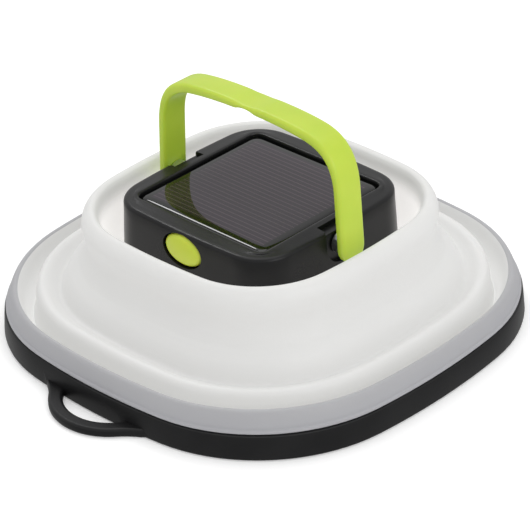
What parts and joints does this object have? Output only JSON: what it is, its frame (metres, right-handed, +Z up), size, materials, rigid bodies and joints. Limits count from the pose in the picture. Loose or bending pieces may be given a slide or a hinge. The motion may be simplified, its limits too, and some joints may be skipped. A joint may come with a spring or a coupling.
{
  "type": "solar lantern",
  "caption": "Square collapsible lantern: silicone diffuser that folds flat in steps, black base with hang loop, lamp head with solar panel, bail handle and push button.",
  "frame": {"origin": "middle of the flat underside of the base, where the lantern stands", "axes": "+Z up out of the base; the button and the hang loop are on the -Y side, the charging socket on +Y; the handle turns about X; folded flat at rest"},
  "size_m": [0.116, 0.1243, 0.0591],
  "materials": {
    "black_plastic": "fine moulded satin black ABS",
    "white_plastic": "satin white, reflects the lamp",
    "silicone": "translucent white silicone, satin",
    "rim_silicone": "translucent grey-white silicone, satin",
    "lime_plastic": "lime green satin nylon",
    "steel": "zinc plated",
    "circuit_board": "green solder mask on glass epoxy",
    "led": "phosphor under clear silicone",
    "clear_window": "clear polycarbonate",
    "panel_cover": "glossy laminate over a dark cell",
    "solar_cell": "dark monocrystalline cell with fine silver fingers",
    "foam": "closed cell foam",
    "battery_wrap": "aluminium laminate pouch",
    "switch_body": "moulded switch body",
    "red_wire": "silicone insulation",
    "black_wire": "silicone insulation",
    "black_rubber": "soft matt rubber"
  },
  "bodies": {
    "base": {"base_tray": "black_plastic", "reflector_plate": "white_plastic", "base_screw_1": "steel", "base_screw_2": "steel", "base_screw_3": "steel", "base_screw_4": "steel", "diffuser_rim": "rim_silicone", "lower_rolling_wall": "silicone"},
    "tiers": {"stepped_diffuser": "silicone", "upper_rolling_wall": "silicone"},
    "head": {"diffuser_collar": "silicone", "collar_ring": "black_plastic", "head_tray": "black_plastic", "head_cover": "black_plastic", "lamp_window": "clear_window", "head_screw_1": "steel", "head_screw_2": "steel", "head_screw_3": "steel", "head_screw_4": "steel", "panel_gasket": "foam", "panel_board": "circuit_board", "solar_cell": "solar_cell", "panel_cover": "panel_cover", "circuit_board": "circuit_board", "led_1": "led", "led_2": "led", "led_3": "led", "led_4": "led", "battery": "battery_wrap", "battery_pad": "foam", "switch_board": "circuit_board", "tact_switch": "switch_body", "charging_socket": "steel", "battery_lead_red": "red_wire", "battery_lead_black": "black_wire", "panel_lead_red": "red_wire", "panel_lead_black": "black_wire", "pivot_pin_left": "steel", "pivot_pin_right": "steel"},
    "handle": {"handle": "lime_plastic"},
    "button": {"power_button": "lime_plastic"},
    "flap": {"socket_flap": "black_rubber"}
  },
  "joints": [
    {"name": "lower_fold", "type": "slide", "parent": "base", "child": "tiers", "axis": [0, 0, 1], "range_m": [0, 0.016], "deforming": ["lower_rolling_wall"]},
    {"name": "upper_fold", "type": "slide", "parent": "tiers", "child": "head", "axis": [0, 0, 1], "range_m": [0, 0.034], "deforming": ["upper_rolling_wall"]},
    {"name": "handle_hinge", "type": "hinge", "parent": "head", "child": "handle", "pos_m": [0, 0, 0.0302], "axis": [1, 0, 0], "range_deg": [-68, 68]},
    {"name": "button_press", "type": "slide", "parent": "head", "child": "button", "axis": [0, 1, 0], "range_m": [0, 0.0006], "stiffness_N_per_m": 1500},
    {"name": "flap_hinge", "type": "hinge", "parent": "head", "child": "flap", "pos_m": [0, 0.0264, 0.029], "axis": [1, 0, 0], "range_deg": [0, 100]}
  ]
}
